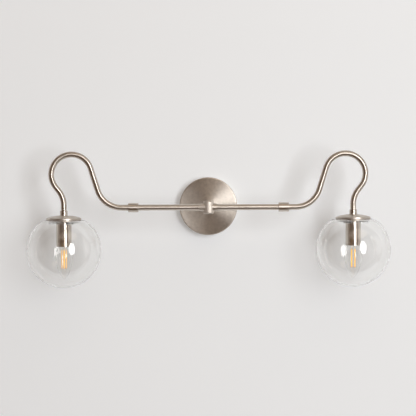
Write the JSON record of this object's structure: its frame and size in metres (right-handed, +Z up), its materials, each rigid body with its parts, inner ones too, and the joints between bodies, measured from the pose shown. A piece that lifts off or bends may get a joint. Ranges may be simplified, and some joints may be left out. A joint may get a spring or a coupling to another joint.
{
  "type": "double arm wall sconce",
  "caption": "Wall sconce with a round backplate, a central hub, gooseneck side arms that swivel, and clear glass globes over candle bulbs.",
  "frame": {"origin": "on the wall, at the axis of the backplate and the midpoint of the strap's two slots", "axes": "+Z up, +X to the viewer's right along the arms, +Y into the wall; the light stands out along -Y"},
  "size_m": [0.7306, 0.18, 0.274],
  "materials": {
    "brushed_nickel": "brushed nickel plate, satin with fine grain",
    "zinc_steel": "zinc plated steel",
    "spring_steel": "tempered spring steel",
    "green_paint": "green earth screw",
    "silicone": "translucent silicone",
    "lamp_ceramic": "unglazed lamp holder ceramic",
    "brass_contact": "bright brass",
    "clear_glass": "clear blown glass",
    "bulb_clear": "thin clear bulb glass",
    "bulb_metal": "nickel plated bulb base",
    "solder": "dull solder",
    "black_glass": "black glass insulator",
    "amber_filament": "amber coated light strip"
  },
  "bodies": {
    "fixture": {"canopy": "brushed_nickel", "mounting_strap": "zinc_steel", "ground_screw": "green_paint", "canopy_screws": "zinc_steel", "stem_nipple": "zinc_steel", "stem_washer": "zinc_steel", "stem_nut": "zinc_steel", "stem_collar": "brushed_nickel", "stem": "brushed_nickel", "hub_body": "brushed_nickel", "hub_cap_top": "brushed_nickel", "hub_cap_bottom": "brushed_nickel", "coupling_screws": "zinc_steel", "left_tube": "brushed_nickel", "right_tube": "brushed_nickel", "left_coupling": "brushed_nickel", "right_coupling": "brushed_nickel"},
    "left_arm_body": {"left_arm": "brushed_nickel", "left_arm_ferrule": "brushed_nickel", "left_lamp_nipple": "zinc_steel", "left_cap": "brushed_nickel", "left_spacer": "zinc_steel", "left_globe_spring": "spring_steel", "left_gasket": "silicone", "left_socket_cup": "brushed_nickel", "left_cup_nut": "zinc_steel", "left_socket_body": "lamp_ceramic", "left_socket_shell": "brass_contact", "left_socket_contact": "brass_contact"},
    "left_globe_body": {"left_globe": "clear_glass"},
    "left_bulb_body": {"left_bulb_tip": "solder", "left_bulb_insulator": "black_glass", "left_bulb_base": "bulb_metal", "left_bulb_glass": "bulb_clear", "left_bulb_stem": "bulb_clear", "left_bulb_wires": "bulb_metal", "left_bulb_filaments": "amber_filament"},
    "right_arm_body": {"right_arm": "brushed_nickel", "right_arm_ferrule": "brushed_nickel", "right_lamp_nipple": "zinc_steel", "right_cap": "brushed_nickel", "right_spacer": "zinc_steel", "right_globe_spring": "spring_steel", "right_gasket": "silicone", "right_socket_cup": "brushed_nickel", "right_cup_nut": "zinc_steel", "right_socket_body": "lamp_ceramic", "right_socket_shell": "brass_contact", "right_socket_contact": "brass_contact"},
    "right_globe_body": {"right_globe": "clear_glass"},
    "right_bulb_body": {"right_bulb_tip": "solder", "right_bulb_insulator": "black_glass", "right_bulb_base": "bulb_metal", "right_bulb_glass": "bulb_clear", "right_bulb_stem": "bulb_clear", "right_bulb_wires": "bulb_metal", "right_bulb_filaments": "amber_filament"}
  },
  "joints": [
    {"name": "left_arm_swivel", "type": "hinge", "parent": "fixture", "child": "left_arm_body", "pos_m": [-0.156, -0.105, 0], "axis": [1, 0, 0], "range_deg": [-45, 15]},
    {"name": "left_globe_drop", "type": "slide", "parent": "left_arm_body", "child": "left_globe_body", "axis": [0, 0, -1], "range_m": [0, 0.13]},
    {"name": "left_bulb_turn", "type": "hinge", "parent": "left_arm_body", "child": "left_bulb_body", "pos_m": [-0.29026, -0.105, -0.08], "axis": [0, 0, 1], "continuous": true},
    {"name": "right_arm_swivel", "type": "hinge", "parent": "fixture", "child": "right_arm_body", "pos_m": [0.156, -0.105, 0], "axis": [1, 0, 0], "range_deg": [-45, 15]},
    {"name": "right_globe_drop", "type": "slide", "parent": "right_arm_body", "child": "right_globe_body", "axis": [0, 0, -1], "range_m": [0, 0.13]},
    {"name": "right_bulb_turn", "type": "hinge", "parent": "right_arm_body", "child": "right_bulb_body", "pos_m": [0.29026, -0.105, -0.08], "axis": [0, 0, 1], "continuous": true}
  ]
}
